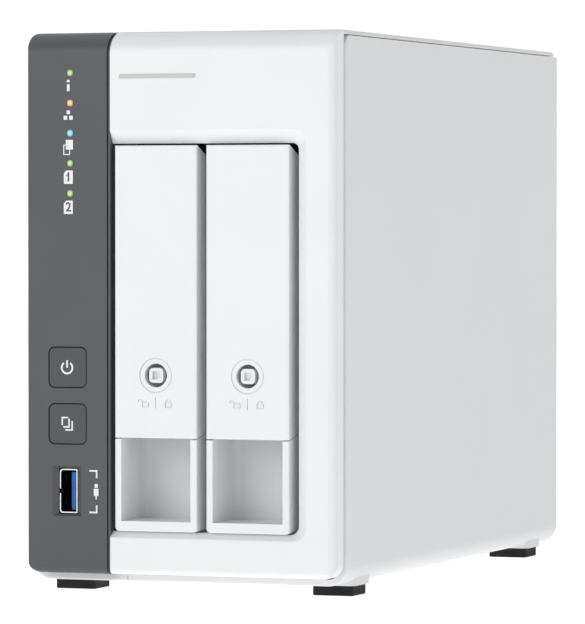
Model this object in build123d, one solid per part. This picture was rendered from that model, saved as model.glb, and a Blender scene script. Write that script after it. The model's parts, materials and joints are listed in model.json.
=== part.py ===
from build123d import *
import math
import os

# Desktop network storage unit with two hot-swap drive trays, built from separate pieces.
# Millimetres. X is the width, with +X on the right seen from the front. Y is the depth, with the
# front face at -Y and the ports at +Y. Z is up, and the rubber feet stand on Z = 0.

# driving dimensions
width = 100.0
depth = 221.0
height = 168.0

front = -depth / 2
rear = depth / 2
half_width = width / 2

# outer covers
cover_wall = 2.0
cover_front = front + 7.5
cover_bottom = 3.7
cover_corner = 5.6
cover_nose = 3.0
side_top = height - 1.7
cover_split_x = -19.35
seam_gap = 0.2

# front bezel and control panel, which stand a little inside the covers
face_half = half_width - 0.7
panel_half = half_width - 1.25
face_bottom = 6.2
face_wall = 2.2
crown_reach = 9.4
crown_drop = 6.8
face_edge = 2.6
panel_edge = 0.9
face_base_edge = 1.8
face_base_corner = 4.2
face_top_corner = 1.0
panel_right = -22.05
bezel_left = -22.0

# bay opening and trays
bay_right = 37.0
bay_bottom = 19.0
bay_top = 134.6
bay_lip = 1.8
tray_width = 26.1
tray_pitch = 29.1
tray_centres = (-7.4, -7.4 + tray_pitch)
tray_bottom = 19.2
tray_top = 134.25
tray_seam = 46.6
tray_mid_z = (tray_bottom + tray_top) / 2
tray_box_depth = 22.0
tray_back = front + tray_box_depth
pocket_corner = 2.5

# lever
lever_gap = 0.3
lever_plate = 1.2
lever_side_depth = 9.0
pivot_depth = 2.8
pivot_drop = 14.15
pivot_y = front + pivot_depth
pivot_z = tray_top - pivot_drop
pin_radius = 0.7
ear_radius = 1.3
pin_skin = 0.5
arm_slope = math.radians(31.0)
seam_slope = math.radians(12.5)
crown_slope = math.radians(22.0)

# lock
lock_z = 65.7
lock_hole = 3.55
lock_dish = 5.2

# 3.5 inch drive
drive_thick = 26.1
drive_wide = 101.6
drive_long = 147.0
drive_front = tray_back + 2.5
drive_rear = drive_front + drive_long
drive_low = tray_mid_z - drive_wide / 2
drive_high = tray_mid_z + drive_wide / 2
platter_y = drive_front + 52.0
platter_well = 46.0
drive_hole_x = 6.35
drive_hole_rear = 28.5
drive_hole_pitch = 101.6

# backplane
backplane_y = drive_rear + 5.0
backplane_screw_xs = (-10.0, 30.0)
backplane_screw_z = 90.0
socket_z = 57.0
socket_half = 18.5

# control panel features
led_x = -34.9
led_top_z = 155.8
led_pitch = 9.0
button_x = -35.7
button_size = 12.0
button_zs = {"power": 67.8, "copy": 50.9}
button_clearance = 0.22
usb_x = -35.9
usb_z = 30.75
usb_thick = 5.7
usb_wide = 13.2

# main board and rear ports
board_low_x = -41.0
board_thick = 1.6
board_x = board_low_x + board_thick
board_front = front + 8.5
board_rear = rear - 4.5
rear_plate_y = rear - 3.3
rear_plate_thick = 1.2
rear_plate_span = (rear_plate_y, rear_plate_y + rear_plate_thick)
port_panel_right = -24.6
network_zs = (52.0, 73.0)
rear_usb_zs = (95.0, 113.0)
power_socket_z = 29.0
reset_z = 129.0
slot_z = 147.0

front_usb_mouth = front + 1.25
rear_usb_mouth = rear_plate_y + 1.0

# fan
fan_size = 70.0
fan_thick = 20.0
fan_x = 11.0
fan_z = 100.0
fan_bore = 33.0
fan_hub = 14.0
fan_hole_pitch = 60.0
fan_rear = rear_plate_y

# drive cage
cage_wall = 1.0
cage_left = -23.6
cage_right = 38.3
cage_low = 14.0
cage_high = 139.6
cage_front = front + 16.5
cage_rear = 62.0

# feet
foot_x = 12.66
foot_y = 12.25
foot_outer_x = 47.7
foot_ys = (front + 25.86, 89.0)
foot_height = 3.1

past = 1.0  # how far a cutter runs past the face that it opens


# helpers
def block(x, y, z):
    """A box from its low and high bounds along each axis."""
    centre = [(low + high) / 2 for low, high in (x, y, z)]
    size = [high - low for low, high in (x, y, z)]
    return Pos(*centre) * Box(*size)


def rounded_face(a, b, radii=(0, 0, 0, 0)):
    """A rectangle over spans a and b. Radii run low-low, high-low, high-high, low-high."""
    corners = [(a[0], b[0]), (a[1], b[0]), (a[1], b[1]), (a[0], b[1])]
    face = make_face(Polyline(*corners, close=True))
    for corner, radius in zip(corners, radii):
        if radius > 0:
            vertex = face.vertices().sort_by_distance(Vector(*corner, 0))[0]
            face = fillet(vertex, radius)
    return face


def prism(face, axis, span):
    """Extrudes a flat face along an axis. Its own x and y become Y Z, X Z or X Y."""
    low, high = span
    planes = {
        "x": Plane(origin=(low, 0, 0), x_dir=(0, 1, 0), z_dir=(1, 0, 0)),
        "y": Plane(origin=(0, high, 0), x_dir=(1, 0, 0), z_dir=(0, -1, 0)),
        "z": Plane(origin=(0, 0, low), x_dir=(1, 0, 0), z_dir=(0, 0, 1)),
    }
    return extrude(planes[axis] * face, high - low)


def polygon(*points):
    return make_face(Polyline(*points, close=True))


def rod(axis, centre, span, radius):
    """A round bar along an axis. Centre gives the other two coordinates in axis order."""
    low, high = span
    middle = (low + high) / 2
    turned = {"x": Rot(0, 90, 0), "y": Rot(90, 0, 0), "z": Rot(0, 0, 0)}[axis]
    places = {
        "x": (middle, centre[0], centre[1]),
        "y": (centre[0], middle, centre[1]),
        "z": (centre[0], centre[1], middle),
    }
    return Pos(*places[axis]) * turned * Cylinder(radius, high - low)


def group(solids):
    """Separate solids that share one node."""
    return Compound(children=list(solids))


def both_sides(centre, near, far):
    """The two spans that lie as far from a centre line on each side of it."""
    return [(centre - far, centre - near), (centre + near, centre + far)]


# front faces
def nose(inset, x, y_end):
    """The rounded front of the unit, moved in by inset, over a span of X and back to y_end."""
    low_y = front + inset
    low_z = face_bottom + inset
    high_z = height - inset
    side = face_half - inset
    panel_side = panel_half - inset
    top_corner = max(face_top_corner - inset, 0.3)
    base_corner = max(face_base_corner - inset, 0.5)
    base_edge = max(face_base_edge - inset, 0.3)
    edge = max(face_edge - inset, 0.35)
    left_edge = max(panel_edge - inset, 0.4)
    reach = crown_reach - inset
    drop = crown_drop - inset
    profile_face = rounded_face((low_y, y_end), (low_z, high_z), (base_edge, 0, 0, 0))
    crown = rounded_face((low_y - past, low_y + reach), (high_z - drop, high_z + past), (0, 0, 0, 0))
    crown -= Pos(low_y + reach, high_z - drop) * Ellipse(reach, drop)
    profile = prism(profile_face - crown, "x", x)
    plan_face = rounded_face((-panel_side, side), (low_y, y_end + past), (left_edge, edge, 0, 0))
    plan = prism(plan_face, "z", (low_z - past, high_z + past))
    radii = (base_corner, base_corner, top_corner, top_corner)
    outline_face = rounded_face((-panel_side, side), (low_z, high_z), radii)
    outline = prism(outline_face, "y", (low_y - past, y_end + past))
    return profile & plan & outline


def face_shell(x):
    """The hollow front over a span of X, with the flange that slides inside the covers."""
    skin = nose(0, x, cover_front - seam_gap)
    skin -= nose(face_wall, (x[0] - past, x[1] + past), cover_front + past)
    flange_side = half_width - cover_wall - 0.4
    flange_low = cover_bottom + cover_wall + 0.4
    flange_high = height - 2.6
    flange_y = (cover_front - 2.0, cover_front + 5.5)
    outer = rounded_face((-flange_side, flange_side), (flange_low, flange_high), (3.2, 3.2, 0.8, 0.8))
    flange = prism(outer, "y", flange_y)
    thin = 1.5
    hollow = block(
        (-flange_side + thin, flange_side - thin),
        (flange_y[0] - past, flange_y[1] + past),
        (flange_low + thin, flange_high - thin),
    )
    flange = (flange - hollow) & block(x, flange_y, (0, height))
    return skin + flange


def front_bezel():
    lip_back = front + 12.0
    shell = face_shell((bezel_left, half_width))
    tunnel = block(
        (bezel_left, bay_right + bay_lip),
        (front, lip_back),
        (bay_bottom - bay_lip, bay_top + bay_lip),
    )
    tunnel &= nose(0, (bezel_left, half_width), lip_back)
    shell += tunnel
    bay = rounded_face((bezel_left - past, bay_right), (bay_bottom, bay_top), (0, 2.7, 2.0, 0))
    shell -= prism(bay, "y", (front - past, lip_back + past))
    shell -= bay_flare(bay)
    return fillet(bay_rim(shell), 0.5)


def bay_flare(bay):
    """The sloped surround that widens the bay opening towards the front."""
    deep = 2.4
    over = past / deep
    rise, drop, out = (reach * (1 + over) for reach in (3.9, 1.8, 3.0))
    wide = rounded_face(
        (bezel_left - past, bay_right + out),
        (bay_bottom - drop, bay_top + rise),
        (0, 5.0, 4.4, 0),
    )
    planes = [
        Plane(origin=(0, y, 0), x_dir=(1, 0, 0), z_dir=(0, -1, 0))
        for y in (front - past, front + deep)
    ]
    return loft([planes[0] * wide, planes[1] * bay], ruled=True)


def bay_rim(shell):
    """The edges where the sloped surround meets the front face."""
    rim = []
    for edge in shell.edges():
        place = edge.center()
        inside = bezel_left + 0.5 < place.X < bay_right + 4.0 and bay_bottom - 4.0 < place.Z < bay_top + 5.0
        if abs(place.Y - front) < 0.01 and inside:
            rim.append(edge)
    return rim


def control_panel():
    shell = face_shell((-half_width, panel_right))
    wall_span = (panel_right - 1.85, panel_right)
    wall_back = front + 13.0
    shell += nose(0, wall_span, cover_front - seam_gap)
    inner = block(
        wall_span,
        (cover_front - 2.0, wall_back),
        (cover_bottom + cover_wall + 0.4, height - 2.6),
    )
    shell += inner
    groove = (-23.05, -22.6)
    ledge = (-22.6, panel_right + past)
    for span, inset in ((groove, 0.8), (ledge, 0.3)):
        shell -= nose(-past, span, cover_front) - nose(
            inset,
            (span[0] - past, span[1] + past),
            cover_front + past,
        )
    for index in range(5):
        z = led_top_z - index * led_pitch
        window = rounded_face((led_x - 0.9, led_x + 0.9), (z - 1.0, z + 1.0), (0.7,) * 4)
        shell -= prism(window, "y", (front - past, front + face_wall + past))
    for z in button_zs.values():
        reach = button_size / 2 + button_clearance
        window = rounded_face((button_x - reach, button_x + reach), (z - reach, z + reach), (2.0,) * 4)
        shell -= prism(window, "y", (front - past, front + face_wall + past))
    scoop_depth = 1.2
    scoop = polygon(
        (usb_x - 5.9, front - past),
        (usb_x - 3.2, front + scoop_depth),
        (usb_x + 3.3, front + scoop_depth),
        (usb_x + 5.6, front - past),
    )
    shell -= prism(scoop, "z", (usb_z - 7.4, usb_z + 7.4))
    port = rounded_face((usb_x - 3.15, usb_x + 3.15), (usb_z - 6.95, usb_z + 6.95), (0.4,) * 4)
    shell -= prism(port, "y", (front, front + face_wall + past))
    return shell


def lens(index):
    z = led_top_z - index * led_pitch
    body = rounded_face((led_x - 0.85, led_x + 0.85), (z - 0.95, z + 0.95), (0.66,) * 4)
    pipe = prism(body, "y", (front, front + 6.0))
    rim = rounded_face((led_x - 1.5, led_x + 1.5), (z - 1.8, z + 1.8), (0.5,) * 4)
    return pipe + prism(rim, "y", (front + face_wall + 0.05, front + face_wall + 1.0))


def indicator_leds():
    low_y = front + 6.3
    return group(
        block((board_x, led_x + 1.3), (low_y, low_y + 4.0), (z - 1.4, z + 1.4))
        for z in (led_top_z - index * led_pitch for index in range(5))
    )


def push_button(z):
    reach = button_size / 2
    cap = prism(
        rounded_face((button_x - reach, button_x + reach), (z - reach, z + reach), (1.8,) * 4),
        "y",
        (front, front + face_wall + 0.1),
    )
    rim = chamfer(cap.faces().sort_by(Axis.Y)[0].edges(), 0.25)
    flange_reach = reach + 0.9
    flange = block(
        (button_x - flange_reach, button_x + flange_reach),
        (front + face_wall + 0.05, front + face_wall + 0.9),
        (z - flange_reach, z + flange_reach),
    )
    stem = rod("y", (button_x, z), (front + face_wall + 0.5, front + 8.0), 1.5)
    return rim + flange + stem


def button_switches():
    """Side-facing push switches on the main board: two at the front and the reset switch at the rear."""
    bodies = []
    for z in button_zs.values():
        body = block((board_x, button_x + 3.2), (front + 7.2, front + 12.7), (z - 3.1, z + 3.1))
        bodies.append(body - rod("y", (button_x, z), (front + 7.2 - past, front + 10.2), 1.7))
    body = block(
        (board_x, button_x + 3.2),
        (board_rear - 6.0, board_rear - 1.0),
        (reset_z - 3.1, reset_z + 3.1),
    )
    bodies.append(body - rod("y", (button_x, reset_z), (board_rear - 4.0, board_rear), 1.4))
    return group(bodies)


def reset_button():
    stem = rod("y", (button_x, reset_z), (board_rear - 2.8, rear_plate_y + 0.6), 1.2)
    return stem + rod("y", (button_x, reset_z), (board_rear - 0.2, board_rear + 0.3), 1.9)


# covers
def cover_profile(side, inset):
    """The L of a side cover's outline in X and Z. Side is -1 on the left and 1 on the right."""
    outer = half_width - inset
    low = cover_bottom + inset
    radius = cover_corner - inset
    inner_x = cover_split_x + (-seam_gap / 2 if side < 0 else seam_gap / 2)
    if side < 0:
        return rounded_face((-outer, inner_x), (low, side_top), (radius, 0, 0, 0))
    return rounded_face((inner_x, outer), (low, side_top), (0, radius, 0, 0))


def side_cover(side):
    length = (cover_front, rear)
    shell = prism(cover_profile(side, 0), "y", length)
    edge = shell.faces().sort_by(Axis.Y)[0].edges()
    outer_edges = [e for e in edge if abs(e.center().X) > half_width - 2 or e.center().Z < cover_bottom + 2]
    shell = fillet(outer_edges, 0.7)
    for y in foot_ys:
        near, far = foot_outer_x - foot_x - 1.2, foot_outer_x + 1.1
        x = (near, far) if side > 0 else (-far, -near)
        plinth = rounded_face(x, (y - foot_y / 2 - 1.2, y + foot_y / 2 + 1.2), (2.0,) * 4)
        shell += prism(plinth, "z", (foot_height, cover_bottom + cover_corner))
    inner = prism(cover_profile(side, cover_wall), "y", (length[0] - past, length[1] + past))
    beyond = block(
        (-half_width + cover_wall, half_width - cover_wall),
        (length[0] - past, length[1] + past),
        (cover_bottom + cover_corner, height + past),
    )
    shell -= inner + beyond
    for z in (22.0, 154.0):
        tab_x = (half_width - 9.0, half_width - cover_wall + 0.01)
        if side < 0:
            tab_x = (-half_width + cover_wall - 0.01, -half_width + 7.5)
        tab = block(tab_x, (rear_plate_y - 3.2, rear_plate_y - 0.05), (z - 5.0, z + 5.0))
        hole_x = (tab_x[0] + tab_x[1]) / 2
        shell += tab - rod("y", (hole_x, z), (rear_plate_y - 5.0, rear_plate_y + past), 1.3)
    corner = rounded_face(
        (cover_front - past, cover_front + cover_nose),
        (side_top - cover_nose, side_top + past),
    )
    corner -= Pos(cover_front + cover_nose, side_top - cover_nose) * Circle(cover_nose)
    shell -= prism(corner, "x", (-half_width - past, half_width + past))
    for x, y in cage_screw_places():
        if (x > cover_split_x) == (side > 0):
            shell -= rod("z", (x, y), (cover_bottom - past, cover_bottom + cover_wall + past), 1.6)
            shell -= Pos(x, y, cover_bottom + 0.79) * Cone(3.1, 1.5, 1.6)
    return shell


def top_cover():
    length = (cover_front, rear - 0.8)
    plate = prism(
        rounded_face((-face_half, face_half), (side_top + 0.3, height), (0, 0, 1.2, 1.2)),
        "y",
        length,
    )
    plate = fillet(plate.faces().sort_by(Axis.Y)[-1].edges().sort_by(Axis.Z)[-1], 0.6)
    inner_side = half_width - cover_wall - 0.3
    inner_face = rounded_face((-inner_side, inner_side), (side_top - 0.7, side_top + 0.5))
    plate += prism(inner_face, "y", (length[0], rear_plate_y - 0.1))
    for side in both_sides(0, inner_side - 1.5, inner_side):
        for y in (-60.0, 0.0, 60.0):
            plate += block(side, (y - 9.0, y + 9.0), (side_top - 9.0, side_top))
    return plate


def rubber_feet():
    feet = []
    for sign in (-1, 1):
        for y in foot_ys:
            centre_x = sign * (foot_outer_x - foot_x / 2)
            foot = Pos(centre_x, y, foot_height / 2) * Box(foot_x, foot_y, foot_height)
            upright = foot.edges().filter_by(Axis.Z)
            foot = fillet(upright, 0.5)
            feet.append(chamfer(foot.faces().sort_by(Axis.Z)[0].edges(), 0.25))
    return group(feet)


# rear
def port_windows():
    """The holes in the rear plate, with a little room round each socket."""
    y = (rear_plate_y - past, rear_plate_y + rear_plate_thick + past)
    windows = []
    for z in network_zs:
        windows.append(block((board_x - 0.2, board_x + 13.9), y, (z - 8.3, z + 8.3)))
    for z in rear_usb_zs:
        windows.append(block((usb_x - 3.1, usb_x + 3.1), y, (z - 6.9, z + 6.9)))
    windows.append(rod("y", (board_x + 6.5, power_socket_z), y, 5.4))
    windows.append(rod("y", (button_x, reset_z), y, 1.5))
    lock_slot = rounded_face((-36.5, -29.5), (slot_z - 1.6, slot_z + 1.6), (1.0,) * 4)
    windows.append(prism(lock_slot, "y", y))
    return windows


def fan_grille(y):
    """A honeycomb of holes over the fan."""
    pitch, across = 4.7, 3.9
    holes = []
    rows = int(fan_bore / (pitch * 0.866)) + 1
    for row in range(-rows, rows + 1):
        z = row * pitch * 0.866
        shift = pitch / 2 if row % 2 else 0
        for column in range(-8, 9):
            x = column * pitch + shift
            if math.hypot(x, z) < fan_bore - 2.6:
                hexagon = RegularPolygon(across / 2, 6, major_radius=False, rotation=30)
                holes.append(Pos(fan_x + x, fan_z + z) * hexagon)
    return prism(Sketch() + holes, "y", y)


def rear_sheet(x):
    """The rear plate over a span of X, with its screw holes."""
    side = half_width - cover_wall - 0.3
    outline = rounded_face(
        (-side, side),
        (cover_bottom + cover_wall + 0.3, height - 2.6),
        (3.2, 3.2, 0.6, 0.6),
    )
    outline &= rounded_face(x, (0, height))
    sheet = prism(outline, "y", rear_plate_span)
    for hole_x, z in fan_corners() + cover_screw_places():
        if x[0] < hole_x < x[1]:
            sheet -= rod(
                "y",
                (hole_x, z),
                (rear_plate_y - past, rear_plate_y + rear_plate_thick + past),
                1.7,
            )
    return sheet


def port_panel():
    plate = rear_sheet((-half_width, port_panel_right))
    for window in port_windows():
        plate -= window
    return plate


def rear_panel():
    plate = rear_sheet((port_panel_right + seam_gap, half_width))
    through = (rear_plate_y - past, rear_plate_y + rear_plate_thick + past)
    plate -= fan_grille(through)
    for step in range(9):
        x = -12.0 + step * 6.0
        vent = rounded_face((x - 1.2, x + 1.2), (18.0, 52.0), (1.1,) * 4)
        plate -= prism(vent, "y", through)
    return plate


def fan_corners():
    half = fan_hole_pitch / 2
    return [(fan_x + sx * half, fan_z + sz * half) for sx in (-1, 1) for sz in (-1, 1)]


def cover_screw_places():
    right = (2 * half_width - 9.0 - cover_wall) / 2
    left = -(2 * half_width - 7.5 - cover_wall) / 2
    return [(x, z) for x in (left, right) for z in (22.0, 154.0)]


def rear_screw(x, z, shank, length):
    """A pan-head screw driven in from the rear, with a cross recess."""
    head_y = rear_plate_y + rear_plate_thick
    head = rod("y", (x, z), (head_y, head_y + 1.6), 2.5)
    head = fillet(head.faces().sort_by(Axis.Y)[-1].edges(), 0.7)
    recess_y = (head_y + 0.5, head_y + 2.0)
    head -= block((x - 1.5, x + 1.5), recess_y, (z - 0.3, z + 0.3))
    head -= block((x - 0.3, x + 0.3), recess_y, (z - 1.5, z + 1.5))
    return head + rod("y", (x, z), (head_y - length, head_y), shank)


def fan_frame():
    y = (fan_rear - fan_thick, fan_rear - 0.05)
    half = fan_size / 2
    body = prism(
        rounded_face((fan_x - half, fan_x + half), (fan_z - half, fan_z + half), (4.0,) * 4),
        "y",
        y,
    )
    body -= rod("y", (fan_x, fan_z), (y[0] - past, y[1] + past), fan_bore)
    flange = 4.0
    waist = block(
        (fan_x - half - past, fan_x + half + past),
        (y[0] + flange, y[1] - flange),
        (fan_z - half - past, fan_z + half + past),
    )
    waist -= rod("y", (fan_x, fan_z), y, fan_bore + 1.8)
    body -= waist
    for x, z in fan_corners():
        body -= rod("y", (x, z), (y[0] - past, y[1] + past), 2.1)
    stator_y = (y[1] - 3.0, y[1])
    body += rod("y", (fan_x, fan_z), stator_y, fan_hub)
    for turn in (45, 135, 225, 315):
        turned = Pos(fan_x, (stator_y[0] + stator_y[1]) / 2, fan_z) * Rot(0, turn, 0)
        arm = turned * Pos(fan_hub + 10, 0, 0) * Box(20.5, 3.0, 3.4)
        body += arm & rod("y", (fan_x, fan_z), stator_y, fan_bore + 0.5)
    body += rod("y", (fan_x, fan_z), (y[1] - 13.0, y[1] - 2.0), 4.2)
    body -= rod("y", (fan_x, fan_z), (y[1] - 13.5, y[1] - 1.5), 2.8)
    return body


def fan_bearing():
    high = fan_rear - 0.05
    sleeve = rod("y", (fan_x, fan_z), (high - 12.5, high - 4.5), 2.8)
    return sleeve - rod("y", (fan_x, fan_z), (high - 14.0, high - 3.0), 1.55)


def fan_rotor():
    high = fan_rear - 0.05
    cup_y = (fan_rear - fan_thick + 1.5, high - 3.8)
    cup = rod("y", (fan_x, fan_z), cup_y, fan_hub - 0.3)
    cup = fillet(cup.faces().sort_by(Axis.Y)[0].edges(), 1.2)
    cup -= rod("y", (fan_x, fan_z), (cup_y[0] + 1.6, cup_y[1] + past), fan_hub - 1.8)
    cup += rod("y", (fan_x, fan_z), (cup_y[0] + 0.5, high - 5.0), 1.5)
    blade_mid = (cup_y[0] + cup_y[1]) / 2
    blades = 9
    for index in range(blades):
        blade = Rot(38, 0, 0) * Box(fan_bore - fan_hub - 0.9, 1.3, 15.0)
        blade = Pos((fan_bore + fan_hub) / 2 - 1.1, 0, 0) * blade
        blade &= Rot(90, 0, 0) * Cylinder(fan_bore - 0.9, cup_y[1] - cup_y[0] - 1.0)
        blade -= Rot(90, 0, 0) * Cylinder(fan_hub - 1.0, 40)
        cup += Pos(fan_x, blade_mid, fan_z) * Rot(0, index * 360 / blades, 0) * blade
    return cup


# sockets and board
def usb_can(z, mouth, direction):
    """A stamped receptacle shell with its mouth at Y = mouth. Direction is 1 when it opens to the rear."""
    long = 14.0
    y = (mouth, mouth + long) if direction < 0 else (mouth - long, mouth)
    sheet = 0.35
    can_x = (usb_x - usb_thick / 2, usb_x + usb_thick / 2)
    can_z = (z - usb_wide / 2, z + usb_wide / 2)
    can = prism(rounded_face(can_x, can_z, (0.9, 0.3, 0.3, 0.9)), "y", y)
    hollow_x = (can_x[0] + sheet, can_x[1] - sheet)
    hollow_z = (can_z[0] + sheet, can_z[1] - sheet)
    hollow_y = (y[0] - past, y[1] - 1.0) if direction < 0 else (y[0] + 1.0, y[1] + past)
    can -= prism(rounded_face(hollow_x, hollow_z, (0.7, 0.15, 0.15, 0.7)), "y", hollow_y)
    window_y = sorted((mouth - direction * 3.5, mouth - direction * 6.5))
    for offset in both_sides(z, 2.2, 4.4):
        can -= block((can_x[0] - past, can_x[0] + 0.5), window_y, offset)
    notch_y = sorted((mouth + direction, mouth - direction * 1.2))
    can -= block((can_x[0] - past, can_x[0] + 0.5), notch_y, (z - 0.7, z + 0.7))
    leg_y = sorted((mouth - direction * 8.0, mouth - direction * 11.0))
    for offset in both_sides(z, usb_wide / 2 - sheet, usb_wide / 2):
        can += block((board_x, usb_x), leg_y, offset)
    return can


def usb_tongue(z, mouth, direction):
    """The contact carrier inside a receptacle, on the side away from the board."""
    y = sorted((mouth - direction * 0.9, mouth - direction * 12.9))
    tongue = block((usb_x + 0.45, usb_x + 2.25), y, (z - 5.6, z + 5.6))
    mouth_face = tongue.faces().sort_by(Axis.Y)[0 if direction < 0 else -1]
    tongue = chamfer(mouth_face.edges().filter_by(Axis.Z), 0.4)
    grooves = [z + step * 2.2 for step in (-1.5, -0.5, 0.5, 1.5)]
    groove_y = sorted((mouth - direction * 1.8, mouth - direction * 9.0))
    for place in grooves:
        tongue -= block((usb_x + 0.4, usb_x + 0.75), groove_y, (place - 0.45, place + 0.45))
    return tongue


def network_socket(z):
    x = (board_x, board_x + 13.5)
    y = (rear_plate_y - 20.0, rear_plate_y + 0.9)
    body = block(x, y, (z - 8.0, z + 8.0))
    mouth = (y[1] - 12.5, y[1] + past)
    body -= block((x[0] + 1.4, x[0] + 9.6), mouth, (z - 5.95, z + 5.95))
    body -= block((x[0] + 9.5, x[0] + 11.6), mouth, (z - 3.1, z + 3.1))
    body -= block((x[0] + 11.5, x[0] + 12.6), mouth, (z - 1.7, z + 1.7))
    return body


def power_socket():
    x = (board_x, board_x + 11.0)
    y = (rear_plate_y - 11.0, rear_plate_y - 0.1)
    body = block(x, y, (power_socket_z - 4.7, power_socket_z + 4.7))
    centre = (board_x + 6.5, power_socket_z)
    body += rod("y", centre, (y[0] + 1.0, rear_plate_y + 1.0), 4.4)
    body -= rod("y", centre, (y[0] + 2.0, rear_plate_y + 2.0), 2.85)
    return body + rod("y", centre, (y[0] + 1.5, rear_plate_y - 0.5), 1.0)


def main_board():
    board = block((board_low_x, board_x), (board_front, board_rear), (18.0, 161.0))
    for y, z in board_screw_places():
        board -= rod("x", (y, z), (board_low_x - past, board_x + past), 1.7)
    return board


def board_screw_places():
    return [(y, z) for y in (-78.0, 52.0) for z in (26.0, 132.0)]


def circuit_chips():
    low = board_x
    chips = [block((low, low + 1.4), (12.0, 34.0), (84.0, 106.0))]
    for z in (66.0, 112.0):
        chips.append(block((low, low + 1.2), (14.0, 27.0), (z, z + 10.0)))
    for y in (-30.0, -12.0):
        chips.append(block((low, low + 1.2), (y, y + 12.0), (96.0, 108.0)))
    for z in (52.0, 73.0):
        chips.append(block((low, low + 1.5), (70.0, 84.0), (z - 7.0, z + 7.0)))
    for index in range(4):
        z = 32.0 + index * 13.0
        chips.append(rod("x", (-50.0, z), (low, low + 9.0), 4.0))
    for index in range(3):
        z = 34.0 + index * 16.0
        chips.append(block((low, low + 5.0), (-34.0, -24.0), (z, z + 10.0)))
    return group(chips)


def processor_heatsink():
    low = board_x + 1.4
    base = block((low, low + 2.4), (4.0, 42.0), (80.0, 110.0))
    fins = 9
    for index in range(fins):
        z = 80.0 + index * (30.0 - 1.4) / (fins - 1)
        base += block((low, low + 10.0), (4.0, 42.0), (z, z + 1.4))
    return base


def clock_battery():
    """A coin cell in its open holder."""
    centre = (-20.0, 140.0)
    low = board_x
    holder = rod("x", centre, (low, low + 4.6), 11.6) - rod("x", centre, (low + 1.0, low + 5.0), 10.2)
    holder -= block(
        (low + 1.0, low + 6.0),
        (centre[0] - 4.0, centre[0] + 4.0),
        (centre[1], centre[1] + 14.0),
    )
    cell = rod("x", centre, (low + 1.0, low + 4.2), 10.0)
    return group([holder, fillet(cell.edges().filter_by(GeomType.CIRCLE), 0.3)])


def drive_low_x(centre):
    return centre - drive_thick / 2 + 0.15


def backplane_board():
    board = block((-37.0, 36.5), (backplane_y, backplane_y + 1.6), (30.0, 96.0))
    for x in backplane_screw_xs:
        board -= rod("y", (x, backplane_screw_z), (backplane_y - past, backplane_y + 3.0), 1.7)
    return board


def backplane_sockets():
    """One combined data and power socket for each drive, and the edge socket to the main board."""
    made = []
    for centre in tray_centres:
        low = drive_low_x(centre) + 2.6
        body = block(
            (low, low + 5.2),
            (drive_rear + 0.5, backplane_y),
            (socket_z - socket_half - 1.5, socket_z + socket_half + 1.5),
        )
        slot_y = (drive_rear - past, backplane_y - 0.8)
        body -= block(
            (low + 1.55, low + 3.45),
            slot_y,
            (socket_z - socket_half + 0.2, socket_z + socket_half - 0.2),
        )
        made.append(body)
    made.append(block((board_x, -36.0), (backplane_y - 9.0, backplane_y), (40.0, 84.0)))
    return group(made)


# cage
def drive_cage():
    y = (cage_front, cage_rear)
    cage = block((cage_left, cage_right), y, (cage_low, cage_high))
    cage -= block(
        (cage_left + cage_wall, cage_right - cage_wall),
        (y[0] - past, y[1] + past),
        (cage_low + cage_wall, cage_high - cage_wall),
    )
    for row_z in (34.0, 80.0):
        for index in range(10):
            slot_y = -70.0 + index * 12.0
            slot = rounded_face((slot_y, slot_y + 3.6), (row_z, row_z + 40.0), (1.7,) * 4)
            cage -= prism(slot, "x", (cage_left - past, cage_right + past))
    foot_low = cover_bottom + cover_wall + 0.2
    for wall_x, flange_x in ((cage_left, cage_left - 10.0), (cage_right - cage_wall, cage_right - 9.0)):
        cage += block((wall_x, wall_x + cage_wall), y, (foot_low, cage_low + cage_wall))
        cage += block((flange_x, wall_x + cage_wall), y, (foot_low, foot_low + cage_wall))
    for screw_x, screw_y in cage_screw_places():
        cage -= rod("z", (screw_x, screw_y), (foot_low - past, foot_low + 3.0), 1.5)
    for post_y, post_z in board_screw_places():
        post = rod("x", (post_y, post_z), (board_x, cage_left + 0.1), 2.8)
        cage += post - rod("x", (post_y, post_z), (board_x - past, board_x + 6.0), 1.3)
    for hanger_x in backplane_screw_xs:
        hanger = block(
            (hanger_x - 4.0, hanger_x + 4.0),
            (backplane_y - 1.0, backplane_y),
            (86.0, cage_high),
        )
        tie = block(
            (hanger_x - 4.0, hanger_x + 4.0),
            (cage_rear - 2.0, backplane_y),
            (cage_high - 1.0, cage_high),
        )
        cage += (hanger + tie) - rod(
            "y",
            (hanger_x, backplane_screw_z),
            (backplane_y - 3.0, backplane_y + past),
            1.3,
        )
    return cage


def cage_screw_places():
    return [(x, y) for x in (cage_left - 5.5, cage_right - 5.5) for y in (-62.0, 48.0)]


def tray_guide(low):
    """The slotted plastic guide under the trays, or over them when low is False."""
    y = (tray_back + 1.0, 58.0)
    x = (cage_left + cage_wall + 0.1, cage_right - cage_wall - 0.1)
    if low:
        face_z, wall_z, slot_z_end = 21.5, cage_low + cage_wall, 19.2
    else:
        face_z, wall_z, slot_z_end = 131.9, cage_high - cage_wall, 134.2
    guide = block(x, y, sorted((face_z, wall_z)))
    for centre in tray_centres:
        slot = sorted((slot_z_end, face_z + (past if low else -past)))
        guide -= block((centre - 4.6, centre + 4.6), (y[0] - past, y[1] + past), slot)
        for notch in range(5):
            notch_y = y[0] + 12.0 + notch * 28.0
            guide -= block((centre - 13.5, centre - 6.5), (notch_y, notch_y + 16.0), slot)
    return guide


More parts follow.
